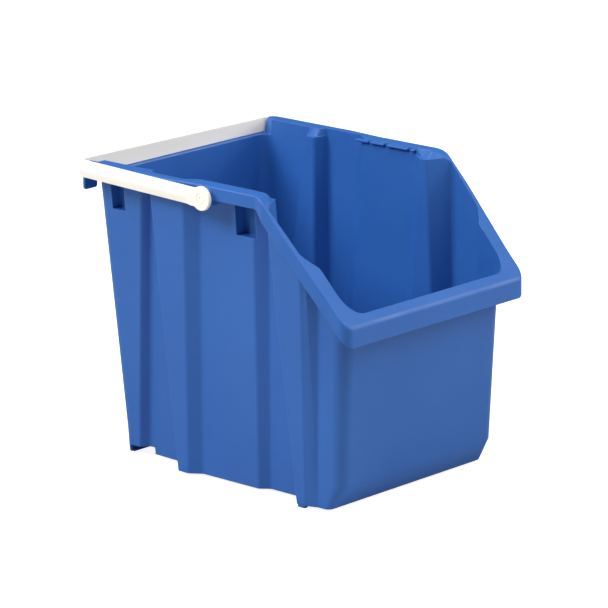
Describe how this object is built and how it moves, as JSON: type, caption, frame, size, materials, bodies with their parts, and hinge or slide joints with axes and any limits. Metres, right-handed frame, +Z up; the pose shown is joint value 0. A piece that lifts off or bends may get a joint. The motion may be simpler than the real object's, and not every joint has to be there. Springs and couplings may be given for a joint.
{
  "type": "stackable storage bin",
  "caption": "Deep hopper-front storage bin with tapering fluted walls, a sloped opening, a rear hanging flange and a swinging bail handle.",
  "frame": {"origin": "on the floor, under the middle of the object's box", "axes": "+Z up; the sloped front opening and the lip face -Y, the hanging flange and the folded handle are at +Y, and x = 0 is the mirror plane"},
  "size_m": [0.3068, 0.387, 0.3355],
  "materials": {
    "blue_plastic": "satin moulded polypropylene, fine grain",
    "white_plastic": "semi-gloss moulded plastic",
    "pin_plastic": "semi-gloss moulded plastic"
  },
  "bodies": {
    "bin": {"bin_body": "blue_plastic", "pivot_pin_left": "pin_plastic", "pivot_pin_right": "pin_plastic"},
    "handle": {"carry_handle": "white_plastic"}
  },
  "joints": [
    {"name": "handle_swing", "type": "hinge", "parent": "bin", "child": "handle", "pos_m": [0, 0.0015, 0.3203], "axis": [1, 0, 0], "range_deg": [0, 200]}
  ]
}
